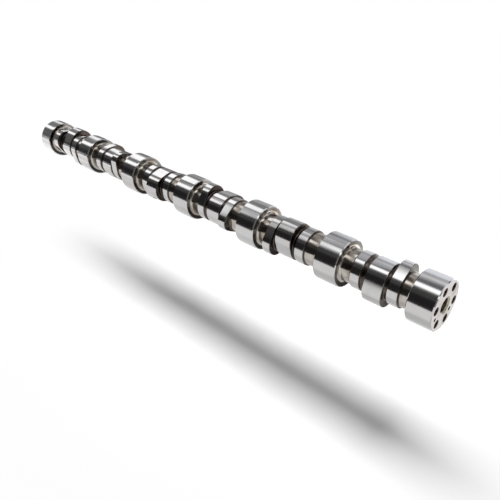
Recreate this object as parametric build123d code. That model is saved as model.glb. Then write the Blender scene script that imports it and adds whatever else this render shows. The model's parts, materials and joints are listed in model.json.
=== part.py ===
from build123d import *
from math import acos, cos, radians, sin, tan
import os

# Camshaft of a six-cylinder diesel engine, forged and ground from one piece of steel.
# All sizes are in millimetres. The shaft lies along X. The origin is the middle of the
# drive face, +X points out of that face, and the far end is at the largest distance
# from it. Places along the shaft are given as distances from the drive face.

# Bearing journals
journal_diameter = 85.0
journal_width = 44.0
drive_journal_width = 42.5
end_journal_width = 40.0
journal_chamfer = 1.5

# Cylinders: the distance from the drive face to the near side of the second journal,
# and the pitch of the journals after it
cylinders = 6
first_bearing_distance = 168.3
cylinder_pitch = 180.0

# Cam lobes: a wide injector lobe between two narrow valve lobes. Noses stay below the
# journals, so that the shaft slides into its bearings from one end.
base_circle_radius = 32.5
nose_clearance = 0.2
lobe_chamfer = 0.8
exhaust_width = 19.0
injector_width = 34.0
inlet_width = 18.0
exhaust_nose_radius = 19.5
injector_nose_radius = 29.0
inlet_nose_radius = 25.0
flank_radius = 250.0

# Gaps along the shaft, from the exhaust lobe to the next journal
exhaust_to_injector = 6.5
injector_to_inlet = 8.5
inlet_to_journal = 21.5

# Where each nose points at the first cylinder, in degrees from +Z towards -Y, and how
# far the lobes of each cylinder are turned from those of the first
exhaust_nose_angle = -22.0
injector_nose_angle = 152.0
inlet_nose_angle = -122.0
cylinder_turns = (0.0, -120.0, 120.0, -60.0, 60.0, 180.0)

# Necks: how far they lie below the base circle, and the curve out to the side faces of
# the lobes and, much larger, of the journals
neck_depth = 3.0
lobe_fillet = 2.0
journal_fillet = 5.0

# Drive face: six tapped holes near the rim, a bore in the middle and two dowel holes.
# Angles are in degrees from +Y towards +Z.
bolt_count = 6
bolt_edge_distance = 12.0
bolt_hole_diameter = 14.0
bolt_hole_depth = 30.0
first_bolt_angle = -9.7
pilot_diameter = 25.0
pilot_depth = 20.0
pilot_chamfer = 2.5
outer_dowel_diameter = 6.0
outer_dowel_angle = 200.8
inner_dowel_diameter = 7.0
inner_dowel_angle = 321.0
inner_dowel_land = 5.5
dowel_depth = 12.0

# Centre holes for grinding between centres: a cone, with a small hole beyond it
centre_cone_angle = 60.0
pilot_centre_diameter = 14.0
end_centre_diameter = 20.0
centre_drill_diameter = 6.0
centre_drill_depth = 5.0
drill_point_angle = 118.0

journal_radius = journal_diameter / 2
nose_reach = journal_radius - nose_clearance
neck_radius = base_circle_radius - neck_depth
bolt_circle_radius = journal_radius - bolt_edge_distance
inner_dowel_reach = (pilot_diameter + inner_dowel_diameter) / 2 + pilot_chamfer + inner_dowel_land

# The three lobes of a cylinder, in order from the drive end: width, nose radius, nose
# angle, and the gap that follows the lobe
LOBES = (
    (exhaust_width, exhaust_nose_radius, exhaust_nose_angle, exhaust_to_injector),
    (injector_width, injector_nose_radius, injector_nose_angle, injector_to_inlet),
    (inlet_width, inlet_nose_radius, inlet_nose_angle, inlet_to_journal),
)


def journal_starts():
    """Distance from the drive face to the near side of each journal."""
    bearings = [first_bearing_distance + cylinder_pitch * k for k in range(cylinders)]
    return [0.0] + bearings


def journal_widths():
    """Width of each journal, from the drive end to the far end."""
    return [drive_journal_width] + [journal_width] * (cylinders - 1) + [end_journal_width]


def section_plane(distance):
    """Plane across the shaft, with its x axis up and its y axis towards -Y."""
    return Plane(origin=(-distance, 0, 0), x_dir=(0, 0, 1), z_dir=(1, 0, 0))


def make_journal(start, width):
    """One bearing journal, a short cylinder with both rims chamfered."""
    body = Cylinder(journal_radius, width, align=(Align.CENTER, Align.CENTER, Align.MIN))
    body = chamfer(body.edges().filter_by(GeomType.CIRCLE), journal_chamfer)
    return section_plane(start + width) * body


def lobe_outline(nose_radius):
    """Cam outline with its nose along x: a base circle and a nose arc, joined by two
    gently rounded flanks that run smoothly into both."""
    lift = nose_reach - nose_radius
    to_base = flank_radius - base_circle_radius
    to_nose = flank_radius - nose_radius
    flank_start = acos((to_nose**2 - to_base**2 - lift**2) / (2 * to_base * lift))
    outward = Vector(cos(flank_start), sin(flank_start))
    nose_centre = Vector(lift, 0)
    flank_centre = outward * -to_base
    towards_nose = (nose_centre - flank_centre).normalized()
    base = outward * base_circle_radius
    flank = flank_centre + (outward + towards_nose).normalized() * flank_radius
    nose = nose_centre + towards_nose * nose_radius
    base_below, flank_below, nose_below = [Vector(p.X, -p.Y) for p in (base, flank, nose)]
    return make_face([
        ThreePointArc(base, (-base_circle_radius, 0), base_below),
        ThreePointArc(base_below, flank_below, nose_below),
        ThreePointArc(nose_below, (nose_reach, 0), nose),
        ThreePointArc(nose, flank, base),
    ])


def make_lobe(start, width, nose_radius, nose_angle):
    """One cam lobe, with the edges of both its faces chamfered."""
    body = extrude(lobe_outline(nose_radius), width)
    rims = body.edges() - body.edges().filter_by(Axis.Z)
    body = chamfer(rims, lobe_chamfer)
    return section_plane(start + width) * Rot(0, 0, nose_angle) * body


def make_neck(near_collar, far_collar):
    """Round neck between two collars, curving out to meet each side face. A collar is
    given by where it starts, where it ends and the fillet beside it."""
    start, end = near_collar[1], far_collar[0]
    near_fillet, far_fillet = [min(c[2], (end - start) / 2.5) for c in (near_collar, far_collar)]
    near = (-start, neck_radius + near_fillet)
    far = (-end, neck_radius + far_fillet)
    near_foot = (-start - near_fillet, neck_radius)
    far_foot = (-end + far_fillet, neck_radius)
    outline = make_face([
        Line((-start, 0), near),
        TangentArc(near, near_foot, tangent=(0, -1)),
        Line(near_foot, far_foot),
        TangentArc(far_foot, far, tangent=(-1, 0)),
        Line(far, (-end, 0)),
        Line((-end, 0), (-start, 0)),
    ])
    return revolve(Plane.XZ * outline, Axis.X)


def cylinder_lobes(next_journal, turn):
    """The lobes before one journal, and each as a collar: its start, end and fillet."""
    fillet = min(lobe_fillet, neck_depth - lobe_chamfer)
    lobes = []
    collars = []
    end = next_journal
    for width, nose_radius, nose_angle, gap in reversed(LOBES):
        end -= gap
        start = end - width
        lobes.append(make_lobe(start, width, nose_radius, nose_angle + turn))
        collars.append((start, end, fillet))
        end = start
    return lobes, collars


def make_blank():
    """The whole shaft before its ends are drilled: journals, lobes and necks."""
    starts = journal_starts()
    pieces = [make_journal(s, w) for s, w in zip(starts, journal_widths())]
    collars = [(s, s + w, journal_fillet) for s, w in zip(starts, journal_widths())]
    for next_journal, turn in zip(starts[1:], cylinder_turns):
        lobes, lobe_collars = cylinder_lobes(next_journal, turn)
        pieces += lobes
        collars += lobe_collars
    collars.sort()
    pieces += [make_neck(near, far) for near, far in zip(collars, collars[1:])]
    return pieces[0].fuse(*pieces[1:]).clean()


def drilled_hole(diameter, depth):
    """Cutter for a blind hole down from z = 0, ending in a drill point."""
    radius = diameter / 2
    point = radius / tan(radians(drill_point_angle / 2))
    outline = make_face(Polyline(
        (0, 0), (radius, 0), (radius, -depth), (0, -depth - point), close=True,
    ))
    return revolve(Plane.XZ * outline, Axis.Z)


def centre_hole(mouth_diameter, depth_below):
    """Cutter for a centre hole whose cone opens at the given depth below z = 0."""
    mouth = mouth_diameter / 2
    drill = centre_drill_diameter / 2
    cone = (mouth - drill) / tan(radians(centre_cone_angle / 2))
    base = -depth_below
    point = drill / tan(radians(drill_point_angle / 2))
    outline = make_face(Polyline(
        (0, base), (mouth, base), (drill, base - cone),
        (drill, base - cone - centre_drill_depth),
        (0, base - cone - centre_drill_depth - point), close=True,
    ))
    return revolve(Plane.XZ * outline, Axis.Z)


def pilot_bore():
    """Cutter for the flat-bottomed bore in the drive face, with its centre hole."""
    radius = pilot_diameter / 2
    outline = make_face(Polyline(
        (0, 0), (radius + pilot_chamfer, 0), (radius, -pilot_chamfer),
        (radius, -pilot_depth), (0, -pilot_depth), close=True,
    ))
    return revolve(Plane.XZ * outline, Axis.Z) + centre_hole(pilot_centre_diameter, pilot_depth)


def on_drive_face(reach, angle):
    """Place on the drive face, with z out of it, at an angle from +Y towards +Z."""
    face = Plane(origin=(0, 0, 0), x_dir=(0, 1, 0), z_dir=(1, 0, 0))
    return face * Pos(reach * cos(radians(angle)), reach * sin(radians(angle)))


def drive_face_holes():
    """Cutters for everything drilled into the drive face."""
    bolt = drilled_hole(bolt_hole_diameter, bolt_hole_depth)
    outer = drilled_hole(outer_dowel_diameter, dowel_depth)
    inner = drilled_hole(inner_dowel_diameter, dowel_depth)
    step = 360 / bolt_count
    angles = [first_bolt_angle + step * k for k in range(bolt_count)]
    cutters = [on_drive_face(bolt_circle_radius, angle) * bolt for angle in angles]
    cutters.append(on_drive_face(bolt_circle_radius, outer_dowel_angle) * outer)
    cutters.append(on_drive_face(inner_dowel_reach, inner_dowel_angle) * inner)
    cutters.append(on_drive_face(0, 0) * pilot_bore())
    return cutters


def far_end_hole():
    """Cutter for the centre hole in the plain end of the shaft."""
    length = journal_starts()[-1] + end_journal_width
    face = Plane(origin=(-length, 0, 0), x_dir=(0, 1, 0), z_dir=(-1, 0, 0))
    return face * centre_hole(end_centre_diameter, 0)


def make_camshaft():
    """The finished shaft, as one solid."""
    return make_blank() - drive_face_holes() - far_end_hole()


os.makedirs("parts", exist_ok=True)
export_step(make_camshaft().solid(), "parts/camshaft.step")
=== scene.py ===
import bpy
import bmesh
import json
import math
from mathutils import Matrix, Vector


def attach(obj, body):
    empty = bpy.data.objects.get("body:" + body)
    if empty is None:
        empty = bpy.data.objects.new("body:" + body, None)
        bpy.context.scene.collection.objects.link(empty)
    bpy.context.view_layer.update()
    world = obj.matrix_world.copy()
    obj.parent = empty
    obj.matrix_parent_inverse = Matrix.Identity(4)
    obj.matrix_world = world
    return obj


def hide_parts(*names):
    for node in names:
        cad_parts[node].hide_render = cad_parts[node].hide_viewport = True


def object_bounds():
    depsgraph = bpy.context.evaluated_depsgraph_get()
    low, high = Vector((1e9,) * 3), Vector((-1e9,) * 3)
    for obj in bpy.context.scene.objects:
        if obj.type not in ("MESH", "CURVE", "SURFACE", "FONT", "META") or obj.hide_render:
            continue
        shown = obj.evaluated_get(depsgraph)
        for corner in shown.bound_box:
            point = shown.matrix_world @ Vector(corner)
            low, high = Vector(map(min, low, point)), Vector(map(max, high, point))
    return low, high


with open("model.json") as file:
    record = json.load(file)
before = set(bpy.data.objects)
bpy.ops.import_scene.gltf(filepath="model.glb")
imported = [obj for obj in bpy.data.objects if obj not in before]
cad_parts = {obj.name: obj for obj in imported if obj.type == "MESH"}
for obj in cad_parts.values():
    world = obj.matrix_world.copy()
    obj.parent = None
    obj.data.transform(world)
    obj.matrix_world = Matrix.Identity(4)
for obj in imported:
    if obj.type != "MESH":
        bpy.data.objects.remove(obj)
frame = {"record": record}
cad_low, cad_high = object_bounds()
mounts = {mount["name"]: mount for mount in frame["record"]["mounts"]}

# Steel finishes. The whole shaft is one forging of alloy steel, so its surfaces differ
# in how each was left: ground bright, turned with a coarser tool, or drilled. The dark
# groove steel is painted shade, laid where narrow necks and fillets lie in shade.

LINE_DRIFT = 18.0
STREAK_WIDTH = 0.07
STREAK_DRIFT = 9.0
FACED_FROM = 0.75
FACED_TO = 0.9
PATCHES_PER_METRE = 32.0
PATCH_EDGES = (0.42, 0.7)
STREAK_STAIN = 0.5
BUMP_STRENGTH = 0.5


def set_or_link(tree, socket, value):
    """Give a socket a plain value, or link another node's output to it."""
    if isinstance(value, bpy.types.NodeSocket):
        tree.links.new(value, socket)
    else:
        socket.default_value = value


def calc(tree, operation, *values):
    """One math node, in a shader or a geometry tree."""
    node = tree.nodes.new("ShaderNodeMath")
    node.operation = operation
    for socket, value in zip(node.inputs, values):
        set_or_link(tree, socket, value)
    return node.outputs[0]


def ramp(tree, value, low, high, from_low=0.0, from_high=1.0):
    """A smooth step from low to high as the value goes between two limits."""
    node = tree.nodes.new("ShaderNodeMapRange")
    node.interpolation_type = "SMOOTHSTEP"
    settings = (value, from_low, from_high, low, high)
    for socket, setting in zip(node.inputs, settings):
        set_or_link(tree, socket, setting)
    return node.outputs[0]


def vector_of(tree, x, y, z):
    """Three numbers joined to a vector."""
    node = tree.nodes.new("ShaderNodeCombineXYZ")
    for socket, value in zip(node.inputs, (x, y, z)):
        set_or_link(tree, socket, value)
    return node.outputs[0]


def parts_of(tree, vector):
    """The three numbers of a vector."""
    node = tree.nodes.new("ShaderNodeSeparateXYZ")
    tree.links.new(vector, node.inputs[0])
    return node.outputs[0], node.outputs[1], node.outputs[2]


def noise(tree, vector, scale, detail=2.0):
    """Soft random pattern from 0 to 1."""
    node = tree.nodes.new("ShaderNodeTexNoise")
    node.inputs["Scale"].default_value = scale
    node.inputs["Detail"].default_value = detail
    tree.links.new(vector, node.inputs["Vector"])
    return node.outputs["Fac"]


def mix_colours(tree, share, first, second):
    """Two colours mixed by a share from 0 to 1."""
    node = tree.nodes.new("ShaderNodeMix")
    node.data_type = "RGBA"
    set_or_link(tree, node.inputs[0], share)
    for socket, colour in zip((node.inputs[6], node.inputs[7]), (first, second)):
        set_or_link(tree, socket, colour if hasattr(colour, "links") else (*colour, 1.0))
    return node.outputs[2]


def new_group(name, kind, inputs, outputs):
    """An empty node group with named sockets, and its input and output nodes."""
    group = bpy.data.node_groups.new(name, kind)
    for label, socket_type, value in inputs:
        socket = group.interface.new_socket(label, in_out="INPUT", socket_type=socket_type)
        if value is not None:
            socket.default_value = value
    for label, socket_type in outputs:
        group.interface.new_socket(label, in_out="OUTPUT", socket_type=socket_type)
    return group, group.nodes.new("NodeGroupInput"), group.nodes.new("NodeGroupOutput")


def make_tool_marks():
    """Lines left by a wheel or tool: round the shaft on what is turned, and in rings
    about its middle on what is faced."""
    group, given, result = new_group(
        "Tool marks", "ShaderNodeTree",
        [("Lines Per Metre", "NodeSocketFloat", 4000.0), ("Seed", "NodeSocketFloat", 0.0)],
        [("Height", "NodeSocketFloat"), ("Streaks", "NodeSocketFloat"),
         ("Faced", "NodeSocketFloat")],
    )
    place = group.nodes.new("ShaderNodeTexCoord")
    x, y, z = parts_of(group, place.outputs["Object"])
    radius = calc(group, "SQRT", calc(group, "ADD", calc(group, "MULTIPLY", y, y),
                                      calc(group, "MULTIPLY", z, z)))
    facing = calc(group, "ABSOLUTE", parts_of(group, place.outputs["Normal"])[0])
    faced = ramp(group, facing, 0.0, 1.0, FACED_FROM, FACED_TO)
    across = calc(group, "MULTIPLY_ADD", faced, calc(group, "SUBTRACT", radius, x), x)
    lines = calc(group, "MULTIPLY", across, given.outputs["Lines Per Metre"])
    lines = calc(group, "ADD", lines, given.outputs["Seed"])
    fine = noise(group, vector_of(group, lines, calc(group, "MULTIPLY", y, LINE_DRIFT),
                                  calc(group, "MULTIPLY", z, LINE_DRIFT)), 1.0, 3.0)
    broad = noise(group, vector_of(group, calc(group, "MULTIPLY", lines, STREAK_WIDTH),
                                   calc(group, "MULTIPLY", y, STREAK_DRIFT),
                                   calc(group, "MULTIPLY", z, STREAK_DRIFT)), 1.0, 2.0)
    group.links.new(fine, result.inputs["Height"])
    group.links.new(broad, result.inputs["Streaks"])
    group.links.new(faced, result.inputs["Faced"])
    return group


tool_marks = make_tool_marks()


def steel(name, colour, stain, stain_share, roughness, spread, lines, depth, seed):
    """A bare steel finish: its own colour with a stain in patches, and tool marks."""
    material = bpy.data.materials.new(name)
    material.use_nodes = True
    tree = material.node_tree
    surface = tree.nodes["Principled BSDF"]
    marks = tree.nodes.new("ShaderNodeGroup")
    marks.node_tree = tool_marks
    marks.inputs["Lines Per Metre"].default_value = lines
    marks.inputs["Seed"].default_value = seed
    place = tree.nodes.new("ShaderNodeTexCoord")
    spots = noise(tree, place.outputs["Object"], PATCHES_PER_METRE, 5.0)
    patches = ramp(tree, spots, 0.0, 1.0, *PATCH_EDGES)
    share = calc(tree, "MULTIPLY", patches, stain_share)
    share = calc(tree, "MULTIPLY_ADD", marks.outputs["Streaks"], stain_share * STREAK_STAIN, share)
    tree.links.new(mix_colours(tree, share, colour, stain), surface.inputs["Base Color"])
    shine = calc(tree, "MULTIPLY_ADD", marks.outputs["Streaks"], spread, roughness)
    tree.links.new(shine, surface.inputs["Roughness"])
    surface.inputs["Metallic"].default_value = 1.0
    bump = tree.nodes.new("ShaderNodeBump")
    bump.inputs["Distance"].default_value = depth
    bump.inputs["Strength"].default_value = BUMP_STRENGTH
    tree.links.new(marks.outputs["Height"], bump.inputs["Height"])
    tree.links.new(bump.outputs["Normal"], surface.inputs["Normal"])
    return material


ground_steel = steel(
    "Ground steel", (0.60, 0.60, 0.60), (0.50, 0.49, 0.49), stain_share=0.3,
    roughness=0.09, spread=0.08, lines=5200.0, depth=0.000002, seed=0.0)
turned_steel = steel(
    "Turned steel", (0.54, 0.52, 0.48), (0.27, 0.225, 0.175), stain_share=0.75,
    roughness=0.08, spread=0.12, lines=1500.0, depth=0.000006, seed=31.0)
side_steel = steel(
    "Side face steel", (0.24, 0.23, 0.21), (0.11, 0.095, 0.08), stain_share=0.8,
    roughness=0.12, spread=0.10, lines=2200.0, depth=0.000008, seed=57.0)
# Painted shade: this steel is darkened to stand for the shade in narrow necks and in the fillets beside
# lobes.
groove_shade_steel = steel(
    "Groove steel", (0.12, 0.10, 0.085), (0.045, 0.036, 0.03), stain_share=0.8,
    roughness=0.20, spread=0.14, lines=2200.0, depth=0.00001, seed=43.0)
end_steel = steel(
    "End face steel", (0.70, 0.675, 0.66), (0.42, 0.37, 0.34), stain_share=0.7,
    roughness=0.08, spread=0.08, lines=2200.0, depth=0.000004, seed=71.0)
drilled_steel = steel(
    "Drilled steel", (0.12, 0.10, 0.07), (0.05, 0.04, 0.028), stain_share=0.8,
    roughness=0.34, spread=0.15, lines=3000.0, depth=0.00001, seed=83.0)
bored_steel = steel(
    "Bored steel", (0.56, 0.53, 0.42), (0.30, 0.27, 0.19), stain_share=0.8,
    roughness=0.30, spread=0.15, lines=3000.0, depth=0.000006, seed=97.0)

# Turned skin. Every surface of the shaft is cut while it spins or is followed by a
# wheel, so each is a run of rings along X: a round ring, or a cam outline with a base
# circle, two rounded flanks and a nose arc. The thread of a hole is cut into its rings.

RING_POINTS = 192
RING_WELD = 0.000002
ANY_LIFT = 0.1
FINISHES = (ground_steel, turned_steel, side_steel, groove_shade_steel, end_steel, drilled_steel,
            bored_steel)
GROUND, TURNED, SIDE, GROOVE_SHADE, FACED, DRILLED, BORED = range(7)
THREAD_PITCH = 0.002
THREAD_SLOPE = 1.2


def round_ring(x, radius, finish, thread=0.0):
    """A round ring, with how deep a thread stands in from it."""
    return {"x": x, "outline": (radius, radius, 0.0), "turn": 0.0,
            "thread": thread, "finish": finish}


def station_line(name, rings):
    """A line of points along X, which carries what each ring is."""
    mesh = bpy.data.meshes.new(name)
    mesh.from_pydata([(ring["x"], 0.0, 0.0) for ring in rings], [], [])
    outline = mesh.attributes.new("outline", "FLOAT_VECTOR", "POINT")
    outline.data.foreach_set("vector", [v for ring in rings for v in ring["outline"]])
    for label in ("turn", "thread", "finish"):
        numbers = mesh.attributes.new(label, "FLOAT", "POINT")
        numbers.data.foreach_set("value", [float(ring[label]) for ring in rings])
    line = bpy.data.objects.new(name, mesh)
    bpy.context.scene.collection.objects.link(line)
    return line


def sampled(tree, source, label, kind, ring):
    """What the station of each ring carries under a name."""
    named = tree.nodes.new("GeometryNodeInputNamedAttribute")
    named.data_type = kind
    named.inputs["Name"].default_value = label
    node = tree.nodes.new("GeometryNodeSampleIndex")
    node.data_type = kind
    tree.links.new(source, node.inputs["Geometry"])
    tree.links.new(named.outputs["Attribute"], node.inputs["Value"])
    tree.links.new(ring, node.inputs["Index"])
    return node.outputs["Value"]


def squared(tree, value):
    """A number times itself."""
    return calc(tree, "MULTIPLY", value, value)


def cam_radius(tree, outline, turn, angle, lift):
    """Radius of the cam outline at an angle: nose arc, rounded flank or base circle. The
    lift is how much larger a flank's radius is than that of the base circle. A round
    ring has no flanks, so any lift suits it."""
    base, nose, offset = parts_of(tree, outline)
    away = calc(tree, "ABSOLUTE", calc(tree, "WRAP", calc(tree, "SUBTRACT", angle, turn),
                                       math.pi, -math.pi))
    to_nose = calc(tree, "ADD", lift, calc(tree, "SUBTRACT", base, nose))
    spare = calc(tree, "SUBTRACT", squared(tree, to_nose), squared(tree, lift))
    spare = calc(tree, "SUBTRACT", spare, squared(tree, offset))
    reach = calc(tree, "MULTIPLY", calc(tree, "MULTIPLY", lift, 2.0), offset)
    flank_end = calc(tree, "ARCCOSINE", calc(tree, "DIVIDE", spare, reach))
    share = calc(tree, "DIVIDE", nose, to_nose)
    ahead = calc(tree, "MULTIPLY_ADD", lift, calc(tree, "COSINE", flank_end), offset)
    nose_end = calc(
        tree, "ARCTAN2",
        calc(tree, "MULTIPLY", share, calc(tree, "MULTIPLY", lift, calc(tree, "SINE", flank_end))),
        calc(tree, "MULTIPLY_ADD", share, ahead, offset))
    side = squared(tree, calc(tree, "MULTIPLY", offset, calc(tree, "SINE", away)))
    chord = calc(tree, "SQRT", calc(tree, "SUBTRACT", squared(tree, nose), side))
    on_nose = calc(tree, "MULTIPLY_ADD", offset, calc(tree, "COSINE", away), chord)
    from_end = calc(tree, "SUBTRACT", away, flank_end)
    flank_side = squared(tree, calc(tree, "MULTIPLY", lift, calc(tree, "SINE", from_end)))
    flank_chord = calc(tree, "SQRT", calc(
        tree, "SUBTRACT", squared(tree, calc(tree, "ADD", lift, base)), flank_side))
    on_flank = calc(tree, "SUBTRACT", flank_chord, calc(
        tree, "MULTIPLY", lift, calc(tree, "COSINE", from_end)))
    past_base = calc(tree, "MULTIPLY", calc(tree, "LESS_THAN", away, flank_end),
                     calc(tree, "SUBTRACT", on_flank, base))
    past_flank = calc(tree, "MULTIPLY", calc(tree, "LESS_THAN", away, nose_end),
                      calc(tree, "SUBTRACT", on_nose, on_flank))
    return calc(tree, "ADD", base, calc(tree, "ADD", past_base, past_flank))


def thread_rise(tree, x, angle, pitch):
    """How far a thread stands in, from 0 at its root to 1 on its flat crest."""
    turns = calc(tree, "ADD", calc(tree, "DIVIDE", x, pitch),
                 calc(tree, "DIVIDE", angle, 2 * math.pi))
    wave = calc(tree, "ABSOLUTE", calc(tree, "MULTIPLY_ADD", calc(tree, "FRACT", turns), 2.0, -1.0))
    return calc(tree, "MINIMUM", calc(tree, "MULTIPLY", wave, THREAD_SLOPE), 1.0)


def make_skin_tree():
    """Rings joined to a closed skin, with the finish of each stretch as its material."""
    tree, given, result = new_group(
        "Turned skin", "GeometryNodeTree",
        [("Stations", "NodeSocketGeometry", None), ("Points Round", "NodeSocketInt", RING_POINTS),
         ("Thread Pitch", "NodeSocketFloat", THREAD_PITCH),
         ("Flank Lift", "NodeSocketFloat", ANY_LIFT),
         ("Weld Distance", "NodeSocketFloat", RING_WELD)],
        [("Skin", "NodeSocketGeometry")],
    )
    stations = given.outputs["Stations"]
    points = given.outputs["Points Round"]
    size = tree.nodes.new("GeometryNodeAttributeDomainSize")
    tree.links.new(stations, size.inputs[0])
    grid = tree.nodes.new("GeometryNodeMeshGrid")
    tree.links.new(size.outputs["Point Count"], grid.inputs["Vertices X"])
    round_count = calc(tree, "ADD", points, 1.0)
    tree.links.new(round_count, grid.inputs["Vertices Y"])
    index = tree.nodes.new("GeometryNodeInputIndex").outputs[0]
    ring = calc(tree, "FLOOR", calc(tree, "DIVIDE", calc(tree, "ADD", index, 0.5), round_count))
    step = calc(tree, "SUBTRACT", index, calc(tree, "MULTIPLY", ring, round_count))
    angle = calc(tree, "DIVIDE", calc(tree, "MULTIPLY", step, 2 * math.pi), points)
    position = tree.nodes.new("GeometryNodeInputPosition")
    place = tree.nodes.new("GeometryNodeSampleIndex")
    place.data_type = "FLOAT_VECTOR"
    tree.links.new(stations, place.inputs["Geometry"])
    tree.links.new(position.outputs[0], place.inputs["Value"])
    tree.links.new(ring, place.inputs["Index"])
    x = parts_of(tree, place.outputs["Value"])[0]
    outline = sampled(tree, stations, "outline", "FLOAT_VECTOR", ring)
    turn = sampled(tree, stations, "turn", "FLOAT", ring)
    thread = sampled(tree, stations, "thread", "FLOAT", ring)
    rise = thread_rise(tree, x, angle, given.outputs["Thread Pitch"])
    cam = cam_radius(tree, outline, turn, angle, given.outputs["Flank Lift"])
    radius = calc(tree, "SUBTRACT", cam, calc(tree, "MULTIPLY", thread, rise))
    sideways = calc(tree, "MULTIPLY", calc(tree, "MULTIPLY", radius, -1.0), calc(tree, "SINE", angle))
    up = calc(tree, "MULTIPLY", radius, calc(tree, "COSINE", angle))
    shaped = tree.nodes.new("GeometryNodeSetPosition")
    tree.links.new(grid.outputs["Mesh"], shaped.inputs["Geometry"])
    tree.links.new(vector_of(tree, x, sideways, up), shaped.inputs["Position"])
    face_ring = calc(tree, "FLOOR", calc(tree, "DIVIDE", calc(tree, "ADD", index, 0.5), points))
    kept = tree.nodes.new("GeometryNodeStoreNamedAttribute")
    kept.domain = "FACE"
    kept.data_type = "FLOAT"
    kept.inputs["Name"].default_value = "finish"
    tree.links.new(shaped.outputs[0], kept.inputs["Geometry"])
    tree.links.new(sampled(tree, stations, "finish", "FLOAT", face_ring), kept.inputs["Value"])
    welded = tree.nodes.new("GeometryNodeMergeByDistance")
    tree.links.new(kept.outputs[0], welded.inputs["Geometry"])
    tree.links.new(given.outputs["Weld Distance"], welded.inputs["Distance"])
    end_in_materials(tree, welded.outputs[0], result.inputs["Skin"])
    return tree


def end_in_materials(tree, geometry, out_socket):
    """Realize what the tree made and give each face the material of its finish."""
    realized = tree.nodes.new("GeometryNodeRealizeInstances")
    tree.links.new(geometry, realized.inputs[0])
    last = realized.outputs[0]
    finish = tree.nodes.new("GeometryNodeInputNamedAttribute")
    finish.data_type = "FLOAT"
    finish.inputs["Name"].default_value = "finish"
    for number, material in enumerate(FINISHES):
        chosen = tree.nodes.new("GeometryNodeSetMaterial")
        chosen.inputs["Material"].default_value = material
        same = calc(tree, "COMPARE", finish.outputs["Attribute"], float(number), 0.25)
        tree.links.new(same, chosen.inputs["Selection"])
        tree.links.new(last, chosen.inputs["Geometry"])
        last = chosen.outputs[0]
    tree.links.new(last, out_socket)


skin_tree = make_skin_tree()


def made_by(tree, target, **inputs):
    """Run a tree on an object and return the result as a plain mesh of its own."""
    modifier = target.modifiers.new(tree.name, "NODES")
    modifier.node_group = tree
    sockets = {s.name: s.identifier for s in tree.interface.items_tree if s.in_out == "INPUT"}
    for label, value in inputs.items():
        modifier[sockets[label.replace("_", " ")]] = value
    bpy.context.view_layer.update()
    graph = bpy.context.evaluated_depsgraph_get()
    mesh = bpy.data.meshes.new_from_object(target.evaluated_get(graph))
    target.modifiers.remove(modifier)
    bpy.data.objects.remove(target)
    return mesh


# Shaft. One forging carries seven ground journals and eighteen ground cam lobes, three
# for each cylinder, with turned necks between them. The far end is plain but for the
# centre hole that it was ground on.

JOURNAL_CHAMFER = 0.0015
LOBE_CHAMFER = 0.0008
BASE_CIRCLE = 0.0325
NOSE_CLEARANCE = 0.0002
FLANK_RADIUS = 0.250
NECK_DEPTH = 0.003
LOBE_FILLET = 0.002
JOURNAL_FILLET = 0.005
LOBE_FILLET_STEPS = 3
JOURNAL_FILLET_STEPS = 7
WIDE_NECK = 0.012
END_CENTRE_RADIUS = 0.010
CENTRE_DRILL_RADIUS = 0.003
CENTRE_DRILL_DEPTH = 0.005
CENTRE_CONE = math.radians(30)
DRILL_POINT = math.radians(59)

# Width, nose radius, nose angle in degrees from +Z towards -Y, and the gap behind it
LOBES = (
    (0.019, 0.0195, -22.0, 0.0065),
    (0.034, 0.0290, 152.0, 0.0085),
    (0.018, 0.0250, -122.0, 0.0215),
)
CYLINDER_TURNS = (0.0, -120.0, 120.0, -60.0, 60.0, 180.0)

journal_radius = mounts["drive_journal"]["dims"]["r_mm"] / 1000
neck_radius = BASE_CIRCLE - NECK_DEPTH
nose_reach = journal_radius - NOSE_CLEARANCE


def journal_span(mount):
    """Near and far side of a journal along X, from the bearing length of its mount."""
    half = mount["dims"]["length_mm"] / 2000 + JOURNAL_CHAMFER
    return mount["pos_m"][0] + half, mount["pos_m"][0] - half


def journal_rings(near, far):
    """A ground journal with a chamfer at each rim."""
    edge = journal_radius - JOURNAL_CHAMFER
    return [round_ring(near, edge, GROUND), round_ring(near - JOURNAL_CHAMFER, journal_radius, GROUND),
            round_ring(far + JOURNAL_CHAMFER, journal_radius, GROUND), round_ring(far, edge, SIDE)]


def lobe_rings(near, far, nose_radius, turn):
    """A ground cam lobe, whose chamfers follow its outline."""
    rings = []
    offset = nose_reach - nose_radius
    for x, inset, finish in ((near, LOBE_CHAMFER, SIDE), (near - LOBE_CHAMFER, 0.0, GROUND),
                             (far + LOBE_CHAMFER, 0.0, GROUND), (far, LOBE_CHAMFER, SIDE)):
        outline = (BASE_CIRCLE - inset, nose_radius - inset, offset)
        rings.append({"x": x, "outline": outline, "turn": math.radians(turn),
                      "thread": 0.0, "finish": finish})
    return rings


def neck_rings(near, near_fillet, far, far_fillet):
    """A neck that curves out to the side faces of its neighbours. A wide one is turned
    bright; a narrow one, and the fillets of a wide one beside a lobe, get the dark groove
    steel as painted shade."""
    rings = []
    wide = near - far > WIDE_NECK
    for x, fillet, step in ((near, near_fillet, 1), (far, far_fillet, -1)):
        by_journal = fillet > LOBE_FILLET
        count = JOURNAL_FILLET_STEPS if by_journal else LOBE_FILLET_STEPS
        # Painted shade: fillets beside lobes and narrow necks get the dark groove steel.
        finish = TURNED if wide and by_journal else GROOVE_SHADE
        bend = [math.radians(90 * k / count) for k in range(count + 1)][::step]
        rings += [round_ring(x - step * fillet * (1 - math.cos(a)),
                             neck_radius + fillet * (1 - math.sin(a)), finish) for a in bend]
        if wide and step > 0:
            rings[-1]["finish"] = TURNED
    rings[-1]["finish"] = SIDE if wide else GROOVE_SHADE
    return rings


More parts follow.
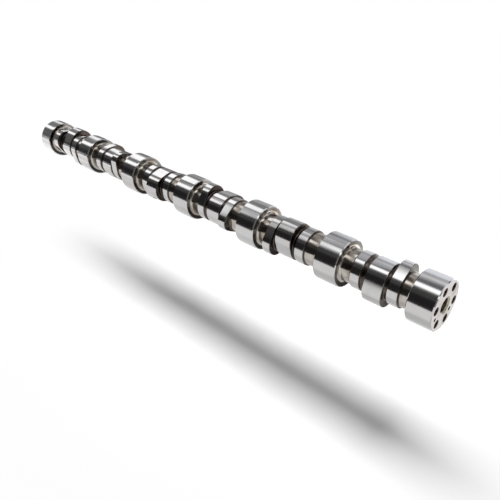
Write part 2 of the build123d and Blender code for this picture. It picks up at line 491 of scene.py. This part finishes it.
def end_rings(x):
    """The plain end face and the centre hole in it, down to the drill's point."""
    cone = (END_CENTRE_RADIUS - CENTRE_DRILL_RADIUS) / math.tan(CENTRE_CONE)
    bottom = x + cone + CENTRE_DRILL_DEPTH
    tip = bottom + CENTRE_DRILL_RADIUS / math.tan(DRILL_POINT)
    return [round_ring(x, END_CENTRE_RADIUS, FACED), round_ring(x + cone, CENTRE_DRILL_RADIUS, DRILLED),
            round_ring(bottom, CENTRE_DRILL_RADIUS, DRILLED), round_ring(tip, 0.0, DRILLED)]


def shaft_rings():
    """All the rings of the shaft, from the rim of its drive face to its far end."""
    journals = sorted((journal_span(m) for m in mounts.values() if m["kind"] == "pin"), reverse=True)
    rings = journal_rings(*journals[0])
    last, last_fillet = journals[0][1], JOURNAL_FILLET
    for (near, far), turn in zip(journals[1:], CYLINDER_TURNS):
        spans = []
        behind = near
        for width, nose_radius, nose_angle, gap in reversed(LOBES):
            behind += gap
            spans.insert(0, (behind + width, behind, nose_radius, nose_angle + turn))
            behind += width
        for start, end, nose_radius, angle in spans:
            rings += neck_rings(last, last_fillet, start, LOBE_FILLET)
            rings += lobe_rings(start, end, nose_radius, angle)
            last, last_fillet = end, LOBE_FILLET
        rings += neck_rings(last, last_fillet, near, JOURNAL_FILLET) + journal_rings(near, far)
        last, last_fillet = far, JOURNAL_FILLET
    rings[-1]["finish"] = FACED
    return rings + end_rings(last)


shaft_mesh = made_by(skin_tree, station_line("shaft_stations", shaft_rings()),
                     Points_Round=RING_POINTS, Flank_Lift=FLANK_RADIUS - BASE_CIRCLE)

# Drive face. Six tapped holes stand on one circle near the rim, with a pilot bore in the
# middle and two dowel holes that set the gear's angle. All are drilled into the end of
# the drive journal, and the thread of each tapped hole is cut as a helix.

HOLE_POINTS = 48
EDGE_BREAK = 0.0003
BOLT_HOLE_DEPTH = 0.030
BOLT_COUNT = mounts["drive_bolts"]["dims"]["count"]
BOLT_ANGLE = math.radians(-9.7)
THREAD_DEPTH = 0.0012
THREAD_START = 0.0008
THREAD_RUN_IN = 0.0014
THREAD_END = 0.025
RINGS_PER_PITCH = 6
PILOT_DEPTH = 0.020
PILOT_CHAMFER = 0.0025
PILOT_CENTRE_RADIUS = 0.007
DOWEL_DEPTH = 0.012

bolt_radius = mounts["drive_bolts"]["dims"]["hole_r_mm"] / 1000
bolt_circle = mounts["drive_bolts"]["dims"]["pcd_mm"] / 2000
pilot_radius = mounts["pilot_bore"]["dims"]["r_mm"] / 1000


def plain_hole(radius, depth, threaded=False):
    """A drilled hole from its point to its mouth, with or without a thread."""
    tip = -depth - radius / math.tan(DRILL_POINT)
    rings = [round_ring(tip, 0.0, DRILLED), round_ring(-depth, radius, DRILLED)]
    if threaded:
        step = THREAD_PITCH / RINGS_PER_PITCH
        for k in range(int((THREAD_END - THREAD_START) / step), -1, -1):
            run_in = min(1.0, k * step / THREAD_RUN_IN, (THREAD_END - THREAD_START - k * step) / step)
            rings.append(round_ring(-THREAD_START - k * step, radius, DRILLED, THREAD_DEPTH * run_in))
    rings.append(round_ring(-EDGE_BREAK, radius, DRILLED))
    rings.append(round_ring(0.0, radius + EDGE_BREAK, FACED))
    return rings


def pilot_rings():
    """The pilot bore from the tip of its centre hole to its chamfered mouth."""
    cone = (PILOT_CENTRE_RADIUS - CENTRE_DRILL_RADIUS) / math.tan(CENTRE_CONE)
    drill = -PILOT_DEPTH - cone - CENTRE_DRILL_DEPTH
    tip = drill - CENTRE_DRILL_RADIUS / math.tan(DRILL_POINT)
    return [round_ring(tip, 0.0, DRILLED), round_ring(drill, CENTRE_DRILL_RADIUS, DRILLED),
            round_ring(-PILOT_DEPTH - cone, CENTRE_DRILL_RADIUS, DRILLED),
            round_ring(-PILOT_DEPTH, PILOT_CENTRE_RADIUS, BORED),
            round_ring(-PILOT_DEPTH, pilot_radius, BORED),
            round_ring(-PILOT_CHAMFER, pilot_radius, BORED),
            round_ring(0.0, pilot_radius + PILOT_CHAMFER, FACED)]


def drive_holes():
    """Each hole of the drive face: its rings, its mouth radius and where it stands."""
    bolt = plain_hole(bolt_radius, BOLT_HOLE_DEPTH, threaded=True)
    holes = []
    for k in range(BOLT_COUNT):
        angle = BOLT_ANGLE + 2 * math.pi * k / BOLT_COUNT
        holes.append((bolt, bolt_radius + EDGE_BREAK,
                      bolt_circle * math.cos(angle), bolt_circle * math.sin(angle)))
    for name in ("outer_dowel_hole", "inner_dowel_hole"):
        radius = mounts[name]["dims"]["r_mm"] / 1000
        y, z = mounts[name]["pos_m"][1:]
        holes.append((plain_hole(radius, DOWEL_DEPTH), radius + EDGE_BREAK, y, z))
    holes.append((pilot_rings(), pilot_radius + PILOT_CHAMFER, 0.0, 0.0))
    return holes


def make_face_tree():
    """A flat round plate facing +X, with a round opening at each point it is given."""
    tree, given, result = new_group(
        "Drive face", "GeometryNodeTree",
        [("Openings", "NodeSocketGeometry", None), ("Rim Radius", "NodeSocketFloat", 0.041),
         ("Rim Points", "NodeSocketInt", RING_POINTS), ("Opening Points", "NodeSocketInt", HOLE_POINTS)],
        [("Face", "NodeSocketGeometry")],
    )
    rim = tree.nodes.new("GeometryNodeCurvePrimitiveCircle")
    tree.links.new(given.outputs["Rim Points"], rim.inputs["Resolution"])
    tree.links.new(given.outputs["Rim Radius"], rim.inputs["Radius"])
    mouth = tree.nodes.new("GeometryNodeCurvePrimitiveCircle")
    tree.links.new(given.outputs["Opening Points"], mouth.inputs["Resolution"])
    mouth.inputs["Radius"].default_value = 1.0
    radius = tree.nodes.new("GeometryNodeInputNamedAttribute")
    radius.data_type = "FLOAT"
    radius.inputs["Name"].default_value = "mouth"
    placed = tree.nodes.new("GeometryNodeInstanceOnPoints")
    tree.links.new(given.outputs["Openings"], placed.inputs["Points"])
    tree.links.new(mouth.outputs["Curve"], placed.inputs["Instance"])
    tree.links.new(radius.outputs["Attribute"], placed.inputs["Scale"])
    joined = tree.nodes.new("GeometryNodeJoinGeometry")
    tree.links.new(placed.outputs[0], joined.inputs[0])
    tree.links.new(rim.outputs["Curve"], joined.inputs[0])
    flat = tree.nodes.new("GeometryNodeRealizeInstances")
    tree.links.new(joined.outputs[0], flat.inputs[0])
    filled = tree.nodes.new("GeometryNodeFillCurve")
    tree.links.new(flat.outputs[0], filled.inputs["Curve"])
    position = tree.nodes.new("GeometryNodeInputPosition")
    y, z, _ = parts_of(tree, position.outputs[0])
    stood = tree.nodes.new("GeometryNodeSetPosition")
    tree.links.new(filled.outputs[0], stood.inputs["Geometry"])
    tree.links.new(vector_of(tree, 0.0, y, z), stood.inputs["Position"])
    kept = tree.nodes.new("GeometryNodeStoreNamedAttribute")
    kept.domain = "FACE"
    kept.data_type = "FLOAT"
    kept.inputs["Name"].default_value = "finish"
    kept.inputs["Value"].default_value = float(FACED)
    tree.links.new(stood.outputs[0], kept.inputs["Geometry"])
    end_in_materials(tree, kept.outputs[0], result.inputs["Face"])
    return tree


def opening_points(holes):
    """A point for each opening, in the plane of the face, with the radius of its mouth."""
    mesh = bpy.data.meshes.new("openings")
    mesh.from_pydata([(y, z, 0.0) for _, _, y, z in holes], [], [])
    mesh.attributes.new("mouth", "FLOAT", "POINT").data.foreach_set("value", [h[1] for h in holes])
    points = bpy.data.objects.new("openings", mesh)
    bpy.context.scene.collection.objects.link(points)
    return points


holes = drive_holes()
face_mesh = made_by(make_face_tree(), opening_points(holes),
                    Rim_Radius=journal_radius - JOURNAL_CHAMFER, Rim_Points=RING_POINTS,
                    Opening_Points=HOLE_POINTS)

# Whole camshaft. The parts of its skin meet ring to ring, so they are welded to one
# closed surface, which is shaded smooth but for the edges that a tool leaves sharp.

WELD = 0.000003
SHARP_ANGLE = math.radians(35)

camshaft_mesh = bpy.data.meshes.new("camshaft_surface")
for finish in FINISHES:
    camshaft_mesh.materials.append(finish)
surface = bmesh.new()


def add_to_surface(mesh, place=Matrix.Identity(4)):
    """Copy a mesh into the surface, with its faces' materials by their finish."""
    mesh.transform(place)
    first = len(surface.faces)
    surface.from_mesh(mesh)
    surface.faces.ensure_lookup_table()
    finish = surface.faces.layers.float["finish"]
    for face in surface.faces[first:]:
        face.material_index = round(face[finish])
        face.smooth = True


add_to_surface(shaft_mesh)
add_to_surface(face_mesh)
for rings, _, y, z in holes:
    hole_mesh = made_by(skin_tree, station_line("hole_stations", rings), Points_Round=HOLE_POINTS)
    add_to_surface(hole_mesh, Matrix.Translation((0.0, y, z)))
bmesh.ops.remove_doubles(surface, verts=surface.verts, dist=WELD)
surface.to_mesh(camshaft_mesh)
surface.free()
camshaft_mesh.set_sharp_from_angle(angle=SHARP_ANGLE)
camshaft = bpy.data.objects.new("camshaft_body", camshaft_mesh)
bpy.context.scene.collection.objects.link(camshaft)
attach(camshaft, "root")
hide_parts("camshaft")

# Camera, at the place from which the photograph was taken. It looks down along the shaft
# from beyond its drive end.

CAMERA_PLACE = (0.22616, -0.65807, 0.46954)
CAMERA_TURN = (math.radians(59.397), math.radians(-0.054), math.radians(43.311))
SENSOR_WIDTH = 36.0
FOCAL_LENGTH = 38.509

camera_data = bpy.data.cameras.new("camera")
camera_data.sensor_width = SENSOR_WIDTH
camera_data.lens = FOCAL_LENGTH
camera = bpy.data.objects.new("camera", camera_data)
camera.location = CAMERA_PLACE
camera.rotation_euler = CAMERA_TURN
bpy.context.scene.collection.objects.link(camera)
bpy.context.scene.camera = camera

# Floor: a wide pale sheet, well below the shaft, on which its soft shadow falls. Polished
# steel sees only a glow of the floor's own, with painted patches of light, a painted
# shadow under the shaft, and painted shade on the side of the viewer, where the studio is dark.

FLOOR_DROP = 0.21
FLOOR_HALF = 30.0
PAPER_COLOUR = (0.92, 0.92, 0.92, 1.0)
PAPER_ROUGHNESS = 0.9
PAPER_LIGHT = 0.97
PAPER_TINT = (1.0, 0.99, 0.985)
SLANT_FROM = (0.226, -0.658)
SHADOW_MIDDLE = -0.28
SHADOW_SQUEEZE = 0.85
SHADOW_FADE = (0.22, 0.72)
LEAST_PLAIN = 0.05


def rise(tree, value, start, end):
    """From 0 up to 1 between two places."""
    return ramp(tree, value, 0.0, 1.0, start, end)


def fall(tree, value, start, end):
    """From 1 down to 0 between two places."""
    return ramp(tree, value, 1.0, 0.0, start, end)


def band(tree, value, low, high, soft):
    """1 between two limits and 0 outside them, with soft edges."""
    return calc(tree, "MULTIPLY", rise(tree, value, low - soft, low + soft),
                fall(tree, value, high - soft, high + soft))


def product(tree, first, *others):
    """Several values multiplied with each other."""
    for other in others:
        first = calc(tree, "MULTIPLY", first, other)
    return first


def lit_patches(tree, along, across, slant):
    """The painted patches of light in the floor's glow, brighter than the rest: under the
    shaft, beyond its far end on both sides of it, and behind it."""
    under = calc(tree, "ADD", ramp(tree, along, -0.13, 0.06, -0.3, -0.12),
                 ramp(tree, along, 0.13, 0.0, -1.3, -1.0))
    under = product(tree, under, rise(tree, across, 0.0, 0.1), fall(tree, across, 0.13, 0.2))
    far_end = product(tree, ramp(tree, along, 0.4, 0.0, -1.5, -1.15),
                      band(tree, across, -0.28, 0.2, 0.08))
    beside_far_end = product(tree, ramp(tree, along, 0.3, 0.0, -2.2, -1.45),
                             fall(tree, across, -0.36, -0.2))
    behind = product(tree, ramp(tree, across, 0.0, 1.2, 0.36, 0.44), fall(tree, along, 0.03, 0.07))
    behind = calc(tree, "MAXIMUM", behind, ramp(tree, across, 0.0, 1.2, 0.55, 0.68))
    behind = product(tree, behind, rise(tree, slant, -0.32, -0.22))
    return under, far_end, beside_far_end, behind


def shades(tree, along, across, slant):
    """How much light the floor's glow keeps under painted shade: a dark patch behind the
    shaft, as if a dark card lay there, one at the rear to the left, and one on the dark side
    of the floor, which ends at the foot of a wall."""
    # Painted shade: a dark patch behind the shaft, where no card stands.
    painted_shade_patch = product(tree, band(tree, across, 0.15, 0.34, 0.03), fall(tree, along, 0.03, 0.07))
    rear = product(tree, fall(tree, slant, -1.15, -0.35), rise(tree, across, 0.4, 0.55))
    wall_foot = product(tree, fall(tree, along, -8.5, -6.5),
                        fall(tree, calc(tree, "DIVIDE", across, along), 0.63, 0.72))
    dark_side = product(tree, ramp(tree, across, 0.97, 0.0, -2.0, -1.2),
                        calc(tree, "SUBTRACT", 1.0, wall_foot))
    return (calc(tree, "MULTIPLY_ADD", painted_shade_patch, -0.9, 1.0), calc(tree, "MULTIPLY_ADD", rear, -0.85, 1.0),
            calc(tree, "SUBTRACT", 1.0, dark_side))


def floor_light(tree, along, across):
    """How bright polished steel shows the floor, from place to place: painted light and
    shade in the floor's own glow, with a painted shadow under the shaft. Some patches end
    at slanting lines, which start from the point below the photograph's camera and stay
    where they are in any other view."""
    slant = calc(tree, "DIVIDE", calc(tree, "SUBTRACT", along, SLANT_FROM[0]),
                 calc(tree, "SUBTRACT", across, SLANT_FROM[1]))
    # Painted shadow under the shaft, in the glow that polished steel shows.
    shadow = calc(tree, "MULTIPLY_ADD", band(tree, along, -1.35, -0.7, 0.08), 0.11,
                  ramp(tree, along, 0.0, 0.26, -1.0, -0.2))
    shadow = product(tree, shadow, band(tree, across, -0.2, 0.05, 0.06))
    brightness = calc(tree, "SUBTRACT", PAPER_LIGHT, shadow)
    for light in lit_patches(tree, along, across, slant):
        brightness = calc(tree, "ADD", brightness, light)
    return product(tree, brightness, *shades(tree, along, across, slant))


def seen_plain(tree, along, across, rays):
    """Share of the floor that is shown by a light of its own, not by the lamp's: all of
    it in polished steel, and to the camera what lies away from the shadow."""
    off_middle = product(tree, calc(tree, "SUBTRACT", along, SHADOW_MIDDLE), SHADOW_SQUEEZE)
    away = calc(tree, "SQRT", calc(tree, "ADD", squared(tree, across), squared(tree, off_middle)))
    plain = ramp(tree, away, LEAST_PLAIN, 1.0, *SHADOW_FADE)
    return calc(tree, "MAXIMUM", product(tree, rays.outputs["Is Camera Ray"], plain),
                rays.outputs["Is Glossy Ray"])


def make_paper():
    """Matt white paper. Away from the shadow it is as bright as the white behind it, and
    polished steel shows its glow with painted patches of light and shade."""
    material = bpy.data.materials.new("Paper")
    material.use_nodes = True
    tree = material.node_tree
    matt = tree.nodes["Principled BSDF"]
    matt.inputs["Base Color"].default_value = PAPER_COLOUR
    matt.inputs["Roughness"].default_value = PAPER_ROUGHNESS
    matt.inputs["Specular IOR Level"].default_value = 0.0
    along, across, _ = parts_of(tree, tree.nodes.new("ShaderNodeTexCoord").outputs["Object"])
    brightness = floor_light(tree, along, across)
    in_steel = tree.nodes.new("ShaderNodeCombineColor")
    for socket, tint in zip(in_steel.inputs, PAPER_TINT):
        tree.links.new(product(tree, brightness, tint), socket)
    rays = tree.nodes.new("ShaderNodeLightPath")
    plain_paper = tree.nodes.new("ShaderNodeEmission")
    colour = mix_colours(tree, rays.outputs["Is Glossy Ray"], (1.0, 1.0, 1.0), in_steel.outputs[0])
    tree.links.new(colour, plain_paper.inputs["Color"])
    seen = tree.nodes.new("ShaderNodeMixShader")
    tree.links.new(seen_plain(tree, along, across, rays), seen.inputs[0])
    tree.links.new(matt.outputs[0], seen.inputs[1])
    tree.links.new(plain_paper.outputs[0], seen.inputs[2])
    tree.links.new(seen.outputs[0], tree.nodes["Material Output"].inputs["Surface"])
    return material


floor_level = cad_low.z - FLOOR_DROP
corners = [(-1, -1), (1, -1), (1, 1), (-1, 1)]
floor_mesh = bpy.data.meshes.new("floor")
floor_mesh.from_pydata([(x * FLOOR_HALF, y * FLOOR_HALF, floor_level) for x, y in corners],
                       [], [(0, 1, 2, 3)])
floor_mesh.materials.append(make_paper())
floor = bpy.data.objects.new("floor", floor_mesh)
bpy.context.scene.collection.objects.link(floor)

# Studio. The shaft is polished, so what it shows is the room: a white strip overhead, a
# tall pale screen behind to the left, grey walls, and the dark side from which it is
# seen. All angles are in degrees.

ROOM_DARK = (0.022, 0.020, 0.021)
ROOM_LIGHT = (0.27, 0.27, 0.27)
WHITE = (1.0, 1.0, 1.0)
STREAK_DENSITY = 0.22
STREAK_CONTRAST = 1.6
STREAK_LEAST = 0.2
LOWEST = -20.0


def between(tree, value, low, high, soft):
    """As band, for limits that may change from place to place."""
    rising = calc(tree, "DIVIDE", calc(tree, "SUBTRACT", value, low), soft)
    falling = calc(tree, "DIVIDE", calc(tree, "SUBTRACT", high, value), soft)
    return ramp(tree, calc(tree, "MINIMUM", rising, falling), 0.0, 1.0, -1.0, 1.0)


def grey(tree, value):
    """A colour with one value in all its channels."""
    node = tree.nodes.new("ShaderNodeCombineColor")
    for socket in node.inputs:
        tree.links.new(value, socket)
    return node.outputs[0]


def walls(tree, heading, height, around):
    """The dark room with its grey walls and ceiling, each laid over what is behind it. A
    pale veil hangs before the side wall, down to a slanting foot."""
    end_edge = calc(tree, "MULTIPLY_ADD", height, -0.3, -147.4)
    veil_foot = calc(tree, "MINIMUM", calc(tree, "MAXIMUM", calc(
        tree, "SUBTRACT", heading, 92.0), 38.0), 55.0)
    end_wall = between(tree, heading, -200.0, end_edge, 1.5)
    end_wall_foot = product(tree, band(tree, heading, -200.0, -146.8, 1.5),
                            band(tree, height, LOWEST, 3.0, 3.0))
    ceiling_edge = band(tree, around, 30.0, 56.0, 7.0)
    ceiling = band(tree, around, -60.0, 33.0, 5.0)
    top = band(tree, height, 67.0, 120.0, 4.0)
    side_wall = product(tree, band(tree, heading, 118.0, 148.0, 4.0),
                        between(tree, height, LOWEST, veil_foot, 4.0))
    side_wall_foot = product(tree, band(tree, heading, 118.0, 136.0, 6.0),
                             band(tree, height, LOWEST, 22.0, 5.0))
    veil = product(tree, band(tree, heading, 112.0, 195.0, 5.0),
                   between(tree, height, veil_foot, 67.0, 4.0))
    room = ROOM_DARK
    for mask, colour in (
        (end_wall, (0.18, 0.18, 0.185)),
        (end_wall_foot, (0.4, 0.4, 0.41)),
        (ceiling_edge, (0.07, 0.07, 0.068)),
        (ceiling, (0.26, 0.26, 0.265)),
        (top, (0.17, 0.17, 0.18)),
        (side_wall, (0.29, 0.29, 0.295)),
        (side_wall_foot, (0.52, 0.52, 0.53)),
        (veil, (0.58, 0.58, 0.60)),
    ):
        room = mix_colours(tree, mask, room, colour)
    return room


def screens(tree, room, heading, height):
    """The lit screens in front of the walls. The tall one leans, so both its edges follow
    its height, and it is brighter towards its top."""
    back = band(tree, heading, 60.0, 119.0, 6.0)
    back_low = product(tree, back, band(tree, height, -30.0, 34.0, 4.0))
    back_high = product(tree, back, band(tree, height, 34.0, 48.0, 4.0))
    near_edge = calc(tree, "ADD", ramp(tree, height, 150.4, 144.6, 2.0, 17.0),
                     ramp(tree, height, 0.0, 2.9, 26.0, 48.0))
    far_edge = calc(tree, "ADD", ramp(tree, height, 155.8, 171.2, 24.0, 42.0),
                    ramp(tree, height, 0.0, 5.0, 46.0, 53.0))
    tall = product(tree, between(tree, heading, near_edge, far_edge, 3.0),
                   band(tree, height, -6.0, 55.0, 4.0))
    tall_light = calc(tree, "ADD", ramp(tree, height, 0.5, 1.7, -4.0, 32.0),
                      ramp(tree, height, 0.0, -0.2, 44.0, 52.0))
    right_low = product(tree, band(tree, heading, -70.0, 6.0, 8.0), band(tree, height, -4.0, 40.0, 6.0))
    right_high = product(tree, band(tree, heading, 12.0, 50.0, 6.0), band(tree, height, 18.0, 56.0, 6.0))
    for mask, colour in (
        (back_low, (1.02, 1.06, 1.12)),
        (back_high, (0.6, 0.6, 0.62)),
        (tall, grey(tree, tall_light)),
        (right_low, (0.2, 0.2, 0.2)),
        (right_high, (1.1, 1.1, 1.1)),
    ):
        room = mix_colours(tree, mask, room, colour)
    return room


def streaked(tree, room, around):
    """The room with uneven streaks along it, as steel ground in bands shows it."""
    lines = noise(tree, vector_of(tree, product(tree, around, STREAK_DENSITY), 0.0, 0.0), 1.0, 3.0)
    tone = calc(tree, "MULTIPLY_ADD", lines, STREAK_CONTRAST, STREAK_LEAST)
    node = tree.nodes.new("ShaderNodeVectorMath")
    node.operation = "SCALE"
    tree.links.new(room, node.inputs[0])
    tree.links.new(tone, node.inputs["Scale"])
    return node.outputs[0]


def strips(tree, room, reach, around):
    """The long lights overhead, which run beside the shaft. How far along them a place
    is goes by its reach: 0 straight above, and more towards the far end."""
    pale = product(tree, band(tree, reach, 0.52, 0.98, 0.08), band(tree, around, 3.0, 34.0, 4.0))
    rear = product(tree, fall(tree, reach, 0.34, 0.5), band(tree, around, -37.0, -24.0, 5.0))
    near = product(tree, fall(tree, reach, 0.5, 0.72), band(tree, around, 9.0, 26.0, 5.0))
    near_light = ramp(tree, reach, 1.9, 1.45, 0.42, 0.52)
    middle = calc(tree, "MULTIPLY_ADD", reach, -19.7, 45.1)
    far_start = calc(tree, "SUBTRACT", middle, 9.5)
    far_end = calc(tree, "ADD", middle, ramp(tree, reach, 8.5, 11.5, 1.0, 1.7))
    far = product(tree, rise(tree, reach, 0.78, 0.93),
                  between(tree, around, far_start, far_end, 4.5))
    glow = product(tree, rise(tree, reach, 1.5, 1.62), band(tree, around, 36.0, 68.0, 6.0),
                   calc(tree, "SUBTRACT", 1.0, far))
    for mask, colour in (
        (pale, (0.66, 0.66, 0.67)),
        (rear, (0.95, 0.94, 0.94)),
        (near, grey(tree, near_light)),
        (far, (1.75, 1.75, 1.75)),
        (glow, (0.17, 0.17, 0.17)),
    ):
        room = mix_colours(tree, mask, room, colour)
    return room


def make_studio():
    """The room as the shaft shows it, plain grey light for all else, and white behind."""
    world = bpy.data.worlds.new("studio")
    world.use_nodes = True
    tree = world.node_tree
    east, north, up = parts_of(tree, tree.nodes.new("ShaderNodeTexCoord").outputs["Generated"])
    to_degrees = 180 / math.pi
    south = product(tree, north, -1.0)
    around = product(tree, calc(tree, "ARCTAN2", south, up), to_degrees)
    heading = product(tree, calc(tree, "ARCTAN2", north, east), to_degrees)
    height = product(tree, calc(tree, "ARCSINE", up), to_degrees)
    off_axis = calc(tree, "MAXIMUM", calc(tree, "SUBTRACT", 1.0, squared(tree, east)), 0.0001)
    reach = calc(tree, "DIVIDE", product(tree, east, -1.0), calc(tree, "SQRT", off_axis))
    room = walls(tree, heading, height, around)
    room = screens(tree, room, heading, height)
    room = strips(tree, streaked(tree, room, around), reach, around)
    rays = tree.nodes.new("ShaderNodeLightPath")
    lit = mix_colours(tree, rays.outputs["Is Glossy Ray"], ROOM_LIGHT, room)
    tree.links.new(mix_colours(tree, rays.outputs["Is Camera Ray"], lit, WHITE),
                   tree.nodes["Background"].inputs["Color"])
    return world


bpy.context.scene.world = make_studio()
bpy.context.scene.view_settings.view_transform = "Standard"

# Lamp: one wide soft light over the shaft. It gives the soft shadow on the floor, and is
# itself not seen in the polished steel, which shows the strips instead.

LAMP_SIZE = (1.8, 0.6)
LAMP_POWER = 50.0
LAMP_PLACE = (-0.5, 0.35, 1.9)
LAMP_TILT = math.radians(-10.0)

lamp_data = bpy.data.lights.new("overhead_lamp", "AREA")
lamp_data.shape = "RECTANGLE"
lamp_data.size, lamp_data.size_y = LAMP_SIZE
lamp_data.energy = LAMP_POWER
lamp = bpy.data.objects.new("overhead_lamp", lamp_data)
lamp.location = LAMP_PLACE
lamp.rotation_euler = (LAMP_TILT, 0.0, 0.0)
lamp.visible_glossy = False
bpy.context.scene.collection.objects.link(lamp)
